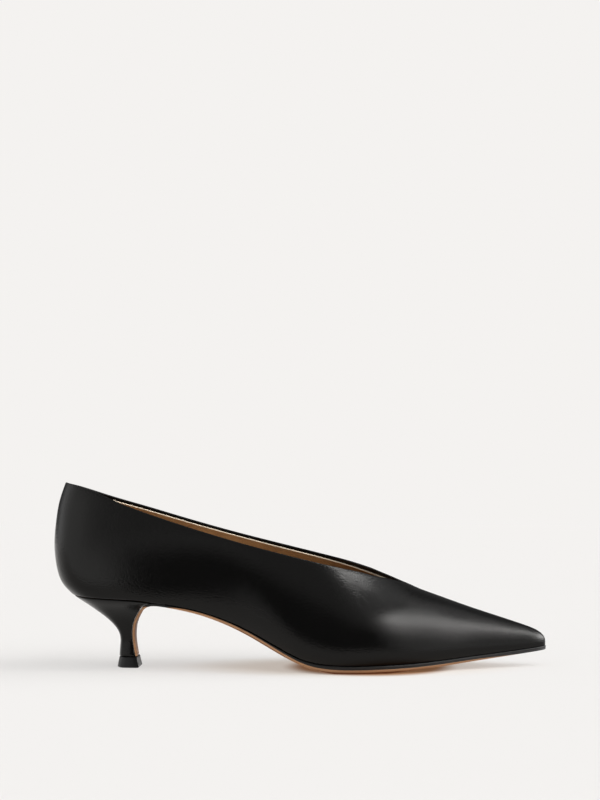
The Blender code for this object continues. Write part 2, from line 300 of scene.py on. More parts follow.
# The lining: its gap to the leather, its foot as a share of the board's thickness, and how far its V
# lies before the throat for each millimetre that it is cut lower
LINING_GAP = 0.05
LINING_FOOT = 0.6
LINING_DRAW = 2.2

# The sock: its raised rim, the rounding of its border, where that starts as a share of the half-width,
# and the half-width that it needs in the toe, in insets
SOCK_DISH = 0.45
SOCK_ROUNDING = 0.25
SOCK_BORDER = 0.93
SOCK_TOE = 1.4

# Where most of a noise's values lie
NOISE_RANGE = (0.3, 0.7)

# The black leather's mean roughness, and the heel's grain as a share of the upper's
BLACK_ROUGHNESS = 0.13
HEEL_GRAIN = 0.6

# The sole's leather: the ink's border in millimetres, the tilts between edge and tread, the streaks'
# stretch, range and strength, the painted shade on the forepart's edge, from and to along in metres and
# its strength, the share of the dark tan that colours the streaks and that painted shade, and the
# roughness of leather and ink
INK_BORDER = (-0.06, 0.06)
EDGE_TILTS = (0.45, 0.75)
STREAK_STRETCH = (0.12, 0.12, 2.2)
STREAK_RANGE = (0.45, 0.75)
STREAK_STRENGTH = 0.55
FOREPART_SHADE_ALONG = (-0.01, 0.03)
FOREPART_SHADE_STRENGTH = 0.7
SOLE_SHADE = 0.62
SOLE_ROUGHNESS = 0.46
INK_ROUGHNESS = 0.42
# Painted shade on its lower rim, where the edge turns under: its tint, and where it is full and where
# it starts, in millimetres under the ink
RIM_SHADE_TINT = (0.3, 0.15, 0.1)
RIM_SHADE_DEPTHS = (-1.6, -0.9)

# Soft panels round the stage: azimuth from the camera's side towards the toe, elevation, half sizes,
# softness of the border, all in degrees, and brightness
Panel = namedtuple("Panel", "azimuth half_width elevation half_height soft brightness")
ROOM_BRIGHTNESS = 1.22
PANELS = (
    Panel(0, 200, 79, 39, 5, 0.76),
    Panel(180, 52, 22, 47, 16, 0.1),
    Panel(9, 36, 41, 40, 10, 0.42),
    Panel(93, 24, 39, 27, 8, 10.5),
    Panel(68, 9, 36, 8, 5, 4.0),
    Panel(116, 26, 51, 12, 5, 0.75),
)

# The key lamp in front of the shoe: azimuth, elevation and spread in degrees, and its strength
KEY_AZIMUTH = 35.0
KEY_ELEVATION = 48.0
KEY_SPREAD = 40.0
KEY_STRENGTH = 1.3

# From here on in metres. The floor and the backdrop: their sizes, where the floor fades to the
# backdrop's tone, and how much it glows by itself, in the open and under the shoe
FLOOR_RADIUS = 6.0
FLOOR_SIDES = 96
BACKDROP_RADIUS = 7.0
BACKDROP_SIDES = 64
FLOOR_FADE = (0.5, 1.4)
FLOOR_GLOW = 0.62
UNDER_GLOW = 0.5

# An oval on the floor: its centre, its half sizes along and across, and its border as shares of them
Oval = namedtuple("Oval", "centre half_length half_width border")
# The warm light that the tan sole throws on the floor, painted on it as tints of floor and glow
BOUNCE = Oval((0.025, 0.0, 0.0), 0.085, 0.046, (0.5, 1.2))
SOLE_BOUNCE = (0.98, 0.88, 0.79)
GLOW_BOUNCE = (1.0, 0.95, 0.89)
# The dark brown contact shadow painted where the tread meets the floor
CONTACT = Oval((0.037, -0.0005, 0.0), 0.046, 0.043, (0.76, 1.06))
CONTACT_SHADOW_TINT = (0.32, 0.17, 0.09)

# The part of the floor that the leather mirrors, as (along, across): its edge lies closer from the
# waist on
TABLE_EDGE = ((-2.0, -0.1), (-0.12, -0.1), (-0.085, -0.068), (2.0, -0.068), (2.0, 2.0), (-2.0, 2.0))
TABLE_DROP = -0.0001
# The black flag in front of the shoe, which its gloss mirrors: from and to along, from and to up
FLAG_ALONG = (-0.121, 0.14)
FLAG_UP = (-0.06, 0.066)
FLAG_FRONT = -0.13
FLAG_TONE = 0.12
# The grey card over the vamp, facing the heel: its place along, its corners as (across, up), and the
# width of its fading border
CARD_ALONG = 0.06
CARD_CORNERS = ((-0.058, 0.053), (-0.016, 0.047), (-0.016, 0.064), (-0.058, 0.104))
CARD_BORDER = 0.007
CARD_TONE = 0.8

# The camera's frame, in millimetres
CAMERA_FRAME = 36.0


def smooth_curve(places, values):
    """Returns the natural cubic spline through the values, straight beyond its ends."""
    places = np.array(places, float)
    values = np.array(values, float)
    steps = np.diff(places)
    slopes = np.diff(values) / steps
    count = len(places)
    matrix = np.eye(count)
    right = np.zeros(count)
    for i in range(1, count - 1):
        matrix[i, i - 1 : i + 2] = steps[i - 1], 2 * (steps[i - 1] + steps[i]), steps[i]
        right[i] = 6 * (slopes[i] - slopes[i - 1])
    bends = np.linalg.solve(matrix, right)

    def curve(place):
        place = np.asarray(place, float)
        i = np.clip(np.searchsorted(places, place) - 1, 0, count - 2)
        step = steps[i]
        after = np.clip(place, places[0], places[-1]) - places[i]
        start_slope = slopes[i] - step * (2 * bends[i] + bends[i + 1]) / 6
        rate = (bends[i + 1] - bends[i]) / step
        value = values[i] + after * (start_slope + after * (bends[i] / 2 + after * rate / 6))
        beyond = place - places[i] - after
        return value + beyond * (start_slope + after * (bends[i] + after * rate / 2))

    return curve


def turn_of(along):
    """The station parameter, 0 at the heel's back and 1 at the toe tip, even in angle."""
    return np.arccos(np.clip(1 - 2 * np.asarray(along) / LENGTH, -1, 1)) / np.pi


def along_of(turn):
    return LENGTH * (1 - np.cos(np.pi * np.asarray(turn))) / 2


def column_curves(rows, place, scales):
    """A smooth curve for each column, against the places of its rows."""
    places = [place(row) for row in rows]
    curves = {}
    for name in rows[0]._fields[1:]:
        values = [getattr(row, name) * scales.get(name, 1) for row in rows]
        curves[name] = smooth_curve(places, values)
    return curves


section = column_curves(
    SECTIONS,
    lambda row: turn_of(row.along),
    {"swing": BALL_WIDTH, "half": BALL_WIDTH, "ridge": INSTEP_HEIGHT},
)
seat = smooth_curve([row.along for row in SEAT], [row.height * HEEL_HEIGHT for row in SEAT])
back = smooth_curve([row.height for row in BACK], [row.setback for row in BACK])
collar = column_curves(
    COLLAR, lambda row: turn_of(row.along), {"lateral": BACK_HEIGHT, "medial": BACK_HEIGHT}
)
sole = column_curves(SOLE, lambda row: row.along, {})
heel_level = column_curves(HEEL, lambda row: row.share, {})


def distances_along(rows):
    """How far each row is from the first, along the line through their places and heights."""
    steps = np.diff([(row.along, row.height) for row in rows], axis=0)
    return np.concatenate([[0], np.cumsum(np.hypot(*steps.T))])


breast_distances = distances_along(BREAST)
breast = {
    name: smooth_curve(breast_distances, column)
    for name, column in zip(Breast._fields, zip(*BREAST))
}


def ease(share):
    """Smooth step from 0 to 1."""
    share = np.clip(share, 0, 1)
    return share * share * (3 - 2 * share)


def unit(vectors):
    return vectors / np.maximum(np.linalg.norm(vectors, axis=-1, keepdims=True), NO_LENGTH)


def sweep(along):
    """How far the back curve still shapes this station: 1 at the back, 0 past the counter."""
    return 0.5 * (1 + np.cos(np.pi * np.minimum(1.0, along / BACK_SWEEP)))


def feather_along(turn):
    along = along_of(turn)
    return along + BACK[0].setback * sweep(along)


def feather_edge(turn, side, inset=0.0):
    """The feather line in plan, moved inwards by the inset."""

    def bare(at):
        return np.stack([feather_along(at), section["swing"](at) + side * section["half"](at)], axis=-1)

    ahead = unit(bare(turn + TURN_STEP) - bare(turn - TURN_STEP))
    outward = side * np.stack([-ahead[..., 1], ahead[..., 0]], axis=-1)
    return bare(turn) - outward * np.asarray(inset)[..., None]


def cubic(points, share):
    rest = 1 - share
    weights = rest**3, 3 * rest**2 * share, 3 * rest * share**2, share**3
    return sum(weight * point for weight, point in zip(weights, points))


def last_skin(turn, side, share):
    """Points of the last's skin: share 0 at the feather line, 1 on the ridge."""
    turn, share = np.broadcast_arrays(turn, share)
    along = along_of(turn)
    swing, half, flare, rise, crown, ridge, lean, drop = (
        section[name](turn) for name in Section._fields[1:]
    )
    foot = seat(feather_along(turn))
    top = swing + lean
    across = cubic((swing + side * half, swing + side * (half + flare), top + side * crown, top), share)
    height = cubic((foot, foot + rise, ridge - drop, ridge), share)
    return np.stack([along + back(height - foot) * sweep(along), across, height], axis=-1)


def skin_rise(turn, side, share):
    """How fast the skin's points move as the share grows."""
    share = np.clip(share, 0, 1 - 4 * SHARE_STEP)
    ahead = last_skin(turn, side, share + SHARE_STEP) - last_skin(turn, side, share - SHARE_STEP)
    return ahead / (2 * SHARE_STEP)


def side_normal(turn, side, share):
    """The outward normals of one side's skin."""
    share = np.clip(share, 0, 1 - 4 * SHARE_STEP)
    ahead = last_skin(turn + TURN_STEP, side, share) - last_skin(turn - TURN_STEP, side, share)
    return unit(np.cross(ahead, skin_rise(turn, side, share)) * -side)


def skin_normal(turn, side, share):
    """The skin's outward normals, the same for both sides where they meet at the back and the ridge."""
    normals = side_normal(turn, side, share)
    shared_normals = unit(normals + side_normal(turn, -side, share))
    meeting = (turn <= 0) | (share >= 1 - MEETING_SHARE)
    return np.where(meeting[..., None], shared_normals, normals)


def share_at_height(turn, side, height):
    """Halves the sections until their heights are the ones wanted."""
    low = np.zeros_like(turn)
    high = np.ones_like(turn)
    for _ in range(HALVINGS):
        middle = (low + high) / 2
        under = last_skin(turn, side, middle)[..., 2] < height
        low = np.where(under, middle, low)
        high = np.where(under, high, middle)
    return low


def collar_share(turn, side, lower=0.0, throat=THROAT):
    """Where the topline cuts each section. Near the throat it closes to the point of the V."""
    along = along_of(turn)
    heights = collar["lateral" if side == LATERAL else "medial"]
    behind = np.minimum(turn, turn_of(VEE_START))
    share = share_at_height(behind, side, heights(behind) - lower)
    gone = np.clip((throat - along) / (throat - VEE_START), 0, 1)
    return np.where(along <= VEE_START, share, 1 - (1 - share) * gone**VEE_POWER)


def wall_turns(throat):
    """Station parameters, close together at the back seam, and the index of the one at the throat."""
    middle = turn_of(throat)
    behind = np.linspace(EVEN_START, middle, STATIONS_BEHIND_THROAT)
    before = np.linspace(middle, 1, STATIONS_BEFORE_THROAT + 1)[1:]
    turns = np.concatenate([SEAM_TURNS, behind, before])
    return turns, len(SEAM_TURNS) + STATIONS_BEHIND_THROAT - 1


class Sheets:
    """Gathers sheets of points and the faces between them, for one piece."""

    def __init__(self):
        self.points = []
        self.count = 0
        self.faces = []
        self.marks = []

    def add(self, points, mark=0.0):
        """Takes points in millimetres and returns their numbers in the same layout."""
        points = np.asarray(points, float)
        numbers = np.arange(points[..., 0].size).reshape(points.shape[:-1]) + self.count
        self.points.append(points.reshape(-1, 3))
        self.marks.append(np.broadcast_to(mark, numbers.shape).reshape(-1))
        self.count += numbers.size
        return numbers

    def skin(self, numbers):
        """Adds the faces between neighbouring columns and rows."""
        corners = numbers[:-1, :-1], numbers[1:, :-1], numbers[1:, 1:], numbers[:-1, 1:]
        self.faces += np.stack([corner.reshape(-1) for corner in corners], axis=-1).tolist()

    def cap(self, ring):
        """Closes a ring whose second half runs back along its first, with rungs across."""
        half = len(ring) // 2
        self.skin(np.stack([ring[:half], ring[::-1][:half]], axis=-1))

    def tube(self, rings):
        """Skins closed rings one after the other, and closes both ends."""
        rings = np.stack(rings)
        self.skin(np.concatenate([rings, rings[:, :1]], axis=1))
        self.cap(rings[0])
        self.cap(rings[-1])

    def piece(self, name, material, sharp=None, mark=None):
        """Makes the object: points that meet are merged, and faces turned outwards."""
        mesh = bpy.data.meshes.new(name)
        points = (np.concatenate(self.points) + LAST_SHIFT) * MM
        mesh.from_pydata(points.tolist(), [], self.faces)
        if mark:
            layer = mesh.attributes.new(mark, "FLOAT", "POINT")
            layer.data.foreach_set("value", np.concatenate(self.marks).astype(np.float32))
        work = bmesh.new()
        work.from_mesh(mesh)
        bmesh.ops.remove_doubles(work, verts=work.verts, dist=MEETING * MM)
        bmesh.ops.dissolve_degenerate(work, edges=work.edges, dist=MEETING * MM / 4)
        bmesh.ops.recalc_face_normals(work, faces=work.faces)
        work.to_mesh(mesh)
        work.free()
        return finished(name, mesh, material, sharp)


def finished(name, mesh, material, sharp=None):
    """Shades a mesh smooth, gives it its material and puts it in the scene."""
    mesh.materials.clear()
    mesh.materials.append(material)
    mesh.shade_smooth()
    if sharp:
        mesh.set_sharp_from_angle(angle=math.radians(sharp))
    obj = bpy.data.objects.new(name, mesh)
    bpy.context.scene.collection.objects.link(obj)
    return obj


def wall_relief(turn, side, share, seam_depth):
    """How far the leather stands off the last at the closed back seam."""
    aside = np.abs(last_skin(turn, side, share)[..., 1])
    forms = SEAM_RIDGE, SEAM_GROOVE
    ridge, groove = (height * np.exp(-((aside / width) ** 2)) for height, width in forms)
    return seam_depth * (ridge - groove) * (along_of(turn) < BACK_SWEEP)


def toe_thin(turn):
    """Layers thin out to nothing in the toe's point."""
    return np.where(turn > MIDDLE_TURN, ease(section["half"](turn) / TOE_FADE), 1.0)


def make_upper(sizes, material):
    """One closed wall of leather, turned under at the feather line and folded over at the topline."""
    leather = sizes.leather_thickness / MM
    fold = sizes.fold_radius / MM
    sheets = Sheets()
    turns, throat = wall_turns(THROAT)
    column = turns[:, None]
    for side in (LATERAL, MEDIAL):
        top = collar_share(turns, side)
        rise = skin_rise(turns, side, top)
        speed = np.linalg.norm(rise, axis=-1)
        bulge = fold * ease((THROAT - along_of(turns)) / FOLD_FADE)
        end = top - bulge / speed
        shares = end[:, None] * np.linspace(0, 1, ROWS_UP_WALL + 1)
        normals = skin_normal(column, side, shares)
        relief = wall_relief(column, side, shares, sizes.seam_depth / MM)
        wall = last_skin(column, side, shares) + normals * relief[..., None]
        flat = unit(normals[:, 0] * (1, 1, 0))
        under = [wall[:, 0] - flat * inwards - (0, 0, down) for inwards, down in TURN_UNDER]
        outer = sheets.add(np.concatenate([np.stack(under, axis=1), wall], axis=1))
        depth = (leather * toe_thin(turns))[:, None, None]
        inner = sheets.add((wall - normals * depth)[:, ::-HIDDEN_ROW_STEP])
        sheets.skin(outer)
        sheets.skin(inner)
        sheets.skin(np.stack([inner[:, -1], outer[:, 0]], axis=1))
        angles = np.linspace(0, np.pi, FOLD_STEPS + 1)[1:-1]
        across = normals[:, -1:] * (depth / 2)
        over = (rise / speed[:, None] * bulge[:, None])[:, None]
        swing = across * np.cos(angles)[None, :, None] + over * np.sin(angles)[None, :, None]
        rim = sheets.add(wall[:, -1:] - across + swing)
        edge = np.concatenate([outer[:, -1:], rim, inner[:, :1]], axis=1)
        sheets.skin(edge[: throat + 1])
    return sheets.piece("upper_leather", material)


def lining_layout(sizes):
    """The lining's stations, the one at its own throat, and how far it is cut below the topline."""
    lower = sizes.fold_depth / MM
    throat = THROAT + LINING_DRAW * lower
    turns, index = wall_turns(throat)
    return turns, index, lower, throat


def lining_faces(sizes, turns, side, shares):
    """The lining's shown face and its back, inside the leather."""
    normals = skin_normal(turns, side, shares)
    skin = last_skin(turns, side, shares)
    thin = toe_thin(turns)[..., None]
    back_depth = (sizes.leather_thickness / MM + LINING_GAP) * thin
    face_depth = back_depth + sizes.lining_thickness / MM * thin
    return skin - normals * face_depth, skin - normals * back_depth


def make_lining(sizes, material):
    """A closed layer of tan leather inside the wall, cut off below the topline."""
    sheets = Sheets()
    turns, throat, lower, place = lining_layout(sizes)
    column = turns[:, None]
    for side in (LATERAL, MEDIAL):
        top = collar_share(turns, side, lower, place)
        foot = seat(feather_along(turns))
        start = share_at_height(turns, side, foot + INSOLE_THICKNESS * LINING_FOOT)
        shares = start[:, None] + (top - start)[:, None] * np.linspace(0, 1, ROWS_UP_WALL // 2 + 1)
        face, rear = lining_faces(sizes, column, side, shares)
        shown = sheets.add(face)
        hidden = sheets.add(rear[:, ::-HIDDEN_ROW_STEP])
        sheets.skin(shown)
        sheets.skin(hidden)
        sheets.skin(np.stack([hidden[:, -1], shown[:, 0]], axis=1))
        sheets.skin(np.stack([shown[:, -1], hidden[:, 0]], axis=1)[: throat + 1])
    return sheets.piece("lining_leather", material, sharp=60)


def lining_edge_path(sizes):
    """The lining's cut edge, from the V round the back and to the V again."""
    turns, throat, lower, place = lining_layout(sizes)
    turns = turns[: throat + 1]
    halves = []
    for side in (LATERAL, MEDIAL):
        face, rear = lining_faces(sizes, turns, side, collar_share(turns, side, lower, place))
        halves.append((face + rear) / 2)
    return np.concatenate([halves[0][::-1], halves[1][1:]])


def edge_sweep_tree(material):
    """Geometry nodes that sweep a round edge along a path, with radius, sides and spacing as inputs."""
    tree = bpy.data.node_groups.new("cut edge along a path", "GeometryNodeTree")
    sockets = tree.interface
    sockets.new_socket("Path", in_out="INPUT", socket_type="NodeSocketGeometry")
    radius = sockets.new_socket("Edge Radius", in_out="INPUT", socket_type="NodeSocketFloat")
    sides = sockets.new_socket("Edge Sides", in_out="INPUT", socket_type="NodeSocketInt")
    spacing = sockets.new_socket("Path Spacing", in_out="INPUT", socket_type="NodeSocketFloat")
    sockets.new_socket("Edge", in_out="OUTPUT", socket_type="NodeSocketGeometry")
    start = add_node(tree, "NodeGroupInput")
    curve = add_node(tree, "GeometryNodeMeshToCurve", {"Mesh": start.outputs["Path"]})
    even = add_node(
        tree,
        "GeometryNodeResampleCurve",
        {"Curve": curve.outputs["Curve"], "Length": start.outputs["Path Spacing"]},
        mode="LENGTH",
    )
    profile = add_node(
        tree,
        "GeometryNodeCurvePrimitiveCircle",
        {"Resolution": start.outputs["Edge Sides"], "Radius": start.outputs["Edge Radius"]},
    )
    swept = add_node(
        tree,
        "GeometryNodeCurveToMesh",
        {"Curve": even.outputs["Curve"], "Profile Curve": profile.outputs["Curve"], "Fill Caps": True},
    )
    smooth = add_node(tree, "GeometryNodeSetShadeSmooth", {"Geometry": swept.outputs["Mesh"]})
    real = add_node(tree, "GeometryNodeRealizeInstances", {"Geometry": smooth.outputs["Geometry"]})
    coloured = add_node(
        tree, "GeometryNodeSetMaterial", {"Geometry": real.outputs["Geometry"], "Material": material}
    )
    add_node(tree, "NodeGroupOutput", {"Edge": coloured.outputs["Geometry"]})
    return tree, {"radius": radius.identifier, "sides": sides.identifier, "spacing": spacing.identifier}


def make_lining_edge(sizes, material):
    """Sweeps the pale cut edge along the top of the lining with geometry nodes, as a plain mesh."""
    points = (lining_edge_path(sizes) + LAST_SHIFT) * MM
    path = bpy.data.meshes.new("lining_edge_path")
    path.from_pydata(points.tolist(), [(i, i + 1) for i in range(len(points) - 1)], [])
    holder = bpy.data.objects.new("lining_edge_path", path)
    bpy.context.scene.collection.objects.link(holder)
    tree, inputs = edge_sweep_tree(material)
    sweeper = holder.modifiers.new("cut edge", "NODES")
    sweeper.node_group = tree
    sweeper[inputs["radius"]] = sizes.cut_edge_radius
    sweeper[inputs["sides"]] = CUT_EDGE_SIDES
    sweeper[inputs["spacing"]] = CUT_EDGE_SPACING * MM
    graph = bpy.context.evaluated_depsgraph_get()
    mesh = bpy.data.meshes.new_from_object(holder.evaluated_get(graph))
    holder.modifiers.remove(sweeper)
    bpy.data.objects.remove(holder, do_unlink=True)
    mesh.name = "lining_cut_edge"
    return finished("lining_cut_edge", mesh, material)


def make_sock(sizes, material):
    """The tan sock on its board: a slightly dished face that follows the seat inside the lining."""
    sheets = Sheets()
    turns, _ = wall_turns(THROAT)
    inset = sizes.sock_inset / MM
    turns = turns[section["half"](turns) > inset * SOCK_TOE * (turns > MIDDLE_TURN)]
    inset = np.full_like(turns, inset)
    lateral = feather_edge(turns, LATERAL, inset)
    medial = feather_edge(turns, MEDIAL, inset)
    across = np.linspace(0, 1, ACROSS_SOCK)[None, :, None]
    plan = lateral[:, None] * (1 - across) + medial[:, None] * across
    rim = np.abs(across[..., 0] * 2 - 1)
    height = seat(plan[..., 0])
    dish = SOCK_DISH * rim**4 - SOCK_ROUNDING * ease((rim - SOCK_BORDER) / (1 - SOCK_BORDER))
    face = np.concatenate([plan, (height + INSOLE_THICKNESS + dish)[..., None]], axis=-1)
    base = np.concatenate([plan, height[..., None]], axis=-1)
    upper = sheets.add(face)
    lower = sheets.add(base[:, ::-1])
    ring = np.concatenate([upper, lower, upper[:, :1]], axis=1)
    sheets.skin(ring)
    for end in (0, -1):
        sheets.cap(np.concatenate([upper[end], lower[end]]))
    return sheets.piece("sock_and_board", material, sharp=50)


def sole_section(turn):
    """The sole's section at a station, from its hidden face round the edge to the tread, by side."""
    half = section["half"](turn)
    rows = [(-min(HIDDEN_REACH, SOLE_REACH_SHARE * half), 0.0, 0.0)]
    rows += [(outwards, share, 0.0) for outwards, share in BEAD_EDGE]
    rows += [(outwards, 1.0, share) for outwards, share in TAN_EDGE]
    sides = {}
    for side in (LATERAL, MEDIAL):
        points = []
        marks = []
        for outwards, bead_share, tan_share in rows:
            x, y = feather_edge(turn, side, -outwards - SOLE_LEDGE)
            slope = (seat(x + SLOPE_STEP) - seat(x - SLOPE_STEP)) / (2 * SLOPE_STEP)
            top = seat(x) - GAP
            thick = min(top, sole["thickness"](x) * math.hypot(1, slope))
            ink = sole["ink"](x)
            bead = min(BEAD_HEIGHT, BEAD_SHARE * thick, max(BEAD_LEAST, ink))
            down = bead * bead_share + (thick - bead) * tan_share
            points.append((x, y, top - down))
            marks.append(ink - down)
        sides[side] = np.array(points), np.array(marks)
    return sides


def breast_point(distance, depth):
    """A point of the turned-down sole, this deep behind its outer face, as (along, height)."""
    ahead_x = breast["along"](distance + SLOPE_STEP) - breast["along"](distance - SLOPE_STEP)
    ahead_z = breast["height"](distance + SLOPE_STEP) - breast["height"](distance - SLOPE_STEP)
    length = np.hypot(ahead_x, ahead_z)
    x = breast["along"](distance) + depth * ahead_z / length
    return x, breast["height"](distance) - depth * ahead_x / length


def heel_share(x, z):
    """How high a point is on the heel: 0 at the top piece and 1 at the seat above it."""
    return (z - HEEL_FOOT) / (seat(x) - GAP - HEEL_FOOT)


def flap_section(distance):
    """The turned-down sole's section, as wide as the heel is there, by side."""
    half = heel_level["half"](heel_share(breast["along"](distance), breast["height"](distance)))
    reach = min(HIDDEN_REACH, half * FLAP_REACH_SHARE)
    thick = breast["thickness"](distance)
    gone = float(ease((distance - FLAP_INK_START) / (FLAP_INK_REACH - FLAP_INK_START)))
    sides = {}
    for side in (LATERAL, MEDIAL):
        points = []
        marks = []
        for inwards, share in ((reach, 0.0), *FLAP_EDGE):
            x, z = breast_point(distance, (1 - share) * thick)
            points.append((x, side * (half - inwards), z))
            marks.append((1 - share - gone) * thick - INK_MARGIN)
        sides[side] = np.array(points), np.array(marks)
    return sides


def make_outsole(material):
    """One strip of leather from the toe tip through the waist and down the heel's breast."""
    sheets = Sheets()
    turns, _ = wall_turns(THROAT)
    sections = [sole_section(turn) for turn in turns[::-1] if feather_along(turn) > WAIST_END]
    distances = np.linspace(0, breast_distances[-1], BREAST_STATIONS)
    sections += [flap_section(distance) for distance in distances]
    across = np.linspace(0, 1, ACROSS_TREAD + 2)[1:-1, None]
    rings = []
    for sides in sections:
        lateral, lateral_marks = sides[LATERAL]
        medial, medial_marks = sides[MEDIAL]
        tread = lateral[-1] * (1 - across) + medial[-1] * across
        points = np.concatenate([lateral, tread, medial[::-1], lateral[:1]])
        tread_marks = np.full(ACROSS_TREAD, min(lateral_marks[-1], BARE_TREAD))
        marks = np.concatenate([lateral_marks, tread_marks, medial_marks[::-1], lateral_marks[:1]])
        rings.append(sheets.add(points, marks))
    sheets.skin(np.stack(rings))
    foot = rings[-1][:-1]
    edge = len(sections[-1][LATERAL][0])
    sheets.cap(np.concatenate([foot[:edge], foot[edge + ACROSS_TREAD :]]))
    sheets.faces.append(foot[edge - 1 : edge + ACROSS_TREAD + 1].tolist())
    return sheets.piece("leather_sole", material, sharp=70, mark="ink")


def seat_outline():
    """The heel seat's outline as shares of its own depth and half-width, out along the lateral side."""
    turns = np.linspace(0, turn_of(SEAT_FRONT), HEEL_STATIONS)
    outline = np.concatenate([feather_edge(turns, LATERAL), feather_edge(turns[::-1], MEDIAL)])
    outline[:, 0] -= outline[:, 0].min()
    return outline / (outline[:, 0].max(), np.abs(outline[:, 1]).max())


def heel_front_curve():
    """The heel's front by share of its height, just behind the turned-down sole."""
    distances = np.linspace(breast_distances[-1], SEAT_TURN, BREAST_STATIONS)
    x, z = breast_point(distances, breast["thickness"](distances) + GAP)
    return smooth_curve(heel_share(x, z), x)


def make_heel(material):
    """The seat's outline drawn in, level by level, to the top piece, with softened rims."""
    sheets = Sheets()
    outline = seat_outline()
    heel_front = heel_front_curve()
    steps = np.linspace(0, 1, HEEL_LEVELS)
    shares = np.sin(steps * np.pi / 2)
    between = [(share, 0.0) for share in shares if FOOT_RIM[-1][0] < share < SEAT_RIM[0][0]]
    rings = []
    for share, inwards in (*FOOT_RIM, *between, *SEAT_RIM):
        rear = heel_level["back"](share) + inwards
        front = heel_front(share) - inwards * FRONT_RIM_SHARE
        half = heel_level["half"](share) - inwards
        x = rear + outline[:, 0] * (front - rear)
        z = HEEL_FOOT + share * (seat(x) - GAP - HEEL_FOOT)
        rings.append(sheets.add(np.stack([x, outline[:, 1] * half, z], axis=-1)))
    sheets.tube(rings)
    return sheets.piece("covered_heel", material, sharp=55)


def top_piece_ring(row, outline):
    """The top piece's outline at one height, its front a little skewed."""
    deep, wide = outline.T
    front = row.front + TOP_PIECE_SKEW * wide
    x = row.back + deep * (front - row.back)
    return np.stack([x, wide * row.half, np.full_like(x, row.height)], axis=-1)


def last_shift():
    """From the last's place to the frame's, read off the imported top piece."""
    low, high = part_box("heel_top_piece")
    rings = np.stack([top_piece_ring(row, seat_outline()) for row in TOP_PIECE])
    return np.array([high.x / MM - rings[..., 0].max(), low.y / MM - rings[..., 1].min(), 0.0])


LAST_SHIFT = last_shift()


def make_top_piece(material):
    """The seat's outline again, small, from the floor to the heel's foot."""
    sheets = Sheets()
    outline = seat_outline()
    sheets.tube([sheets.add(top_piece_ring(row, outline)) for row in TOP_PIECE])
    return sheets.piece("top_piece", material, sharp=50)


def feed(tree, node, inputs):
    """Fills a node's inputs, each from a socket that is linked or with a value."""
    for name, value in inputs.items():
        if isinstance(value, bpy.types.NodeSocket):
            tree.links.new(value, node.inputs[name])
        else:
            node.inputs[name].default_value = value


def add_node(tree, kind, inputs=None, **settings):
    """Adds a node with its settings and inputs."""
    node = tree.nodes.new(kind)
    for name, value in settings.items():
        setattr(node, name, value)
    feed(tree, node, inputs or {})
    return node


def calculate(tree, operation, *values):
    """A math node of these values or sockets."""
    return add_node(tree, "ShaderNodeMath", dict(enumerate(values)), operation=operation).outputs[0]


def remap(tree, value, low, high, start=0.0, end=1.0):
    """A smooth change from start to end as the value goes from low to high."""
    inputs = {"Value": value, "From Min": low, "From Max": high, "To Min": start, "To Max": end}
    return add_node(tree, "ShaderNodeMapRange", inputs, interpolation_type="SMOOTHSTEP").outputs["Result"]


def blend_colours(tree, factor, one, two):
    """Mixes two colours or colour sockets."""
    return add_node(tree, "ShaderNodeMix", {0: factor, 6: one, 7: two}, data_type="RGBA").outputs[2]


def tone(colour, share=1.0):
    """A colour for a socket, darker or lighter by a share."""
    return (*(share * channel for channel in colour), 1.0)


def tinted(colour, tint):
    """A colour with each channel multiplied by the tint's."""
    return tuple(channel * part for channel, part in zip(colour, tint))


def axis(tree, vector, name):
    """One coordinate of a vector socket."""
    return add_node(tree, "ShaderNodeSeparateXYZ", {"Vector": vector}).outputs[name]


def stretched(tree, place, scale):
    """Coordinates multiplied by a scale for each axis."""
    return add_node(tree, "ShaderNodeMapping", {"Vector": place, "Scale": scale}).outputs["Vector"]


def noise(tree, place, size, detail=3.0, roughness=0.5):
    """Noise whose lumps are about this size in metres."""
    inputs = {"Vector": place, "Scale": 1 / size, "Detail": detail, "Roughness": roughness}
    return add_node(tree, "ShaderNodeTexNoise", inputs).outputs["Fac"]


def pebbles(tree, place, size, smoothness=0.5):
    """The distance from the middle of rounded pebbles of this size."""
    inputs = {"Vector": place, "Scale": 1 / size, "Smoothness": smoothness, "Randomness": 0.95}
    return add_node(tree, "ShaderNodeTexVoronoi", inputs, feature="SMOOTH_F1").outputs["Distance"]


def varied(tree, value, middle, spread):
    """A finish that varies about its middle with a noise."""
    return remap(tree, value, *NOISE_RANGE, middle - spread, middle + spread)


def relief(tree, height, depth):
    """The normals of a surface that a height raises, this deep in metres."""
    inputs = {"Height": height, "Distance": depth, "Strength": 1.0}
    return add_node(tree, "ShaderNodeBump", inputs).outputs["Normal"]


def weighted(tree, one, one_weight, two, two_weight):
    """Two values added by their weights."""
    rest = calculate(tree, "MULTIPLY", two, two_weight)
    return calculate(tree, "MULTIPLY_ADD", one, one_weight, rest)


def new_material(name):
    """A material with its tree, its shader and the piece's own coordinates."""
    material = bpy.data.materials.new(name)
    material.use_nodes = True
    tree = material.node_tree
    place = add_node(tree, "ShaderNodeTexCoord").outputs["Object"]
    return material, tree, tree.nodes["Principled BSDF"], place


def black_leather(name, colour, grain, depth):
    """Black calf: fine pebbled grain, a thin finish that varies a little in gloss."""
    material, tree, shader, place = new_material(name)
    lumps = noise(tree, place, size=0.012, detail=2.0)
    pores = noise(tree, place, size=0.35 * grain, detail=2.0)
    height = weighted(tree, pores, 0.35, pebbles(tree, place, grain), -1.0)
    finish = {
        "Base Color": blend_colours(tree, lumps, tone(colour, 0.75), tone(colour, 1.25)),
        "Roughness": varied(tree, noise(tree, place, size=0.004), BLACK_ROUGHNESS, 0.03),
        "Specular IOR Level": 0.24,
        "Specular Tint": (1.0, 0.98, 0.95, 1.0),
        "Normal": relief(tree, height, depth),
    }
    feed(tree, shader, finish)
    return material


